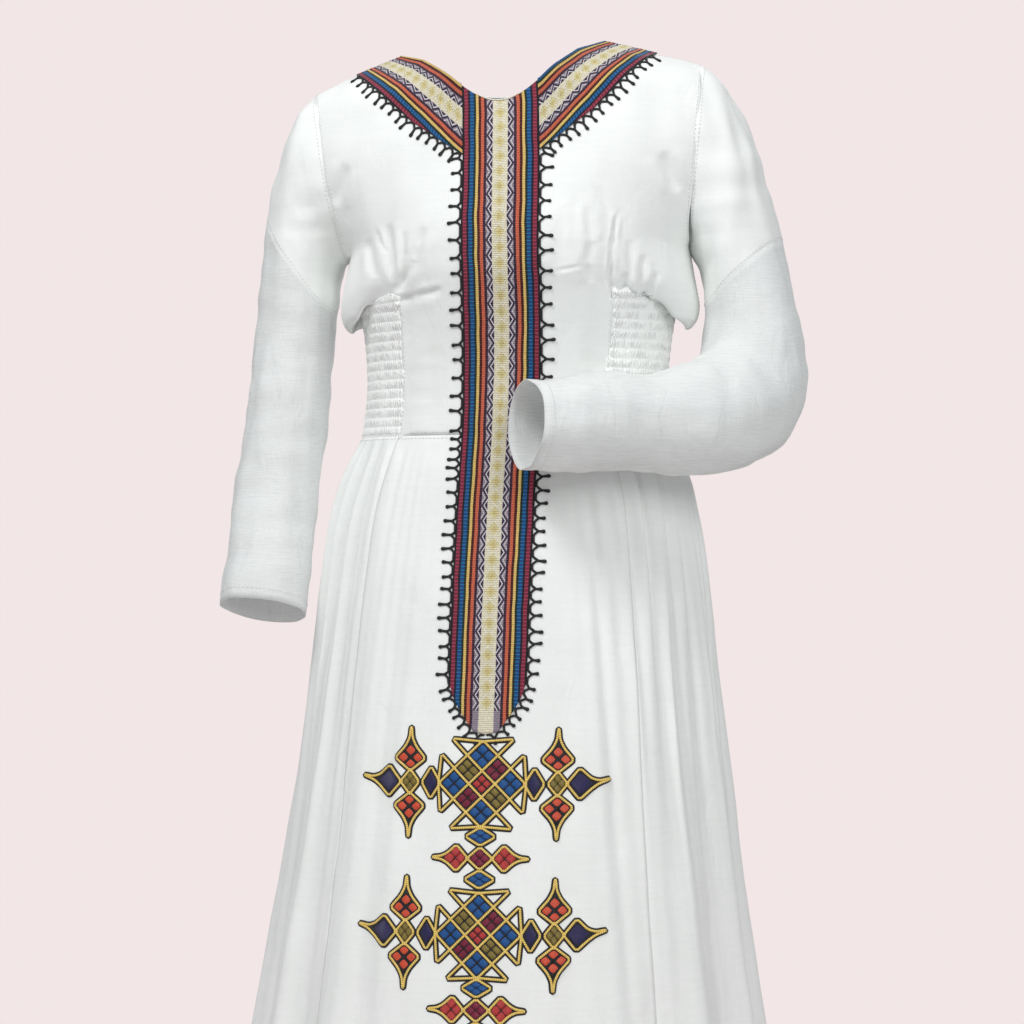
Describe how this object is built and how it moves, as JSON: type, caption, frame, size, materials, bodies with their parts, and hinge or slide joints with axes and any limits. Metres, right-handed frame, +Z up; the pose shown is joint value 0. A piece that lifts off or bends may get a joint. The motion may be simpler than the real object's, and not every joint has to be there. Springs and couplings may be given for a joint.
{
  "type": "habesha kemis dress",
  "caption": "Long white cotton dress with woven trim down the front and along the neckline, long sleeves, smocked sides and a gathered skirt, worn shape.",
  "frame": {"origin": "between the shoulders, level with the neck ends of the shoulder seams, where the wearer's neck and shoulders hold the dress", "axes": "+Z up, the front faces -Y, the wearer's left is +X; the hem is at z -1.35 m"},
  "size_m": [0.6326, 0.4993, 1.3561],
  "materials": {
    "cotton": "soft white cotton",
    "gauze": "fine open white cotton weave",
    "tibeb": "ribbed woven stripes, crimson, blue, gold, purple and cream"
  },
  "bodies": {
    "root": {"front_bodice": "cotton", "back_bodice": "cotton", "right_smocked_waist": "cotton", "left_smocked_waist": "cotton", "right_upper_sleeve": "cotton", "right_lower_sleeve": "gauze", "left_upper_sleeve": "cotton", "left_lower_sleeve": "gauze", "front_skirt": "cotton", "back_skirt": "cotton", "right_side_skirt": "cotton", "left_side_skirt": "cotton", "centre_tibeb": "tibeb", "right_neck_tibeb": "tibeb", "left_neck_tibeb": "tibeb"}
  },
  "joints": []
}
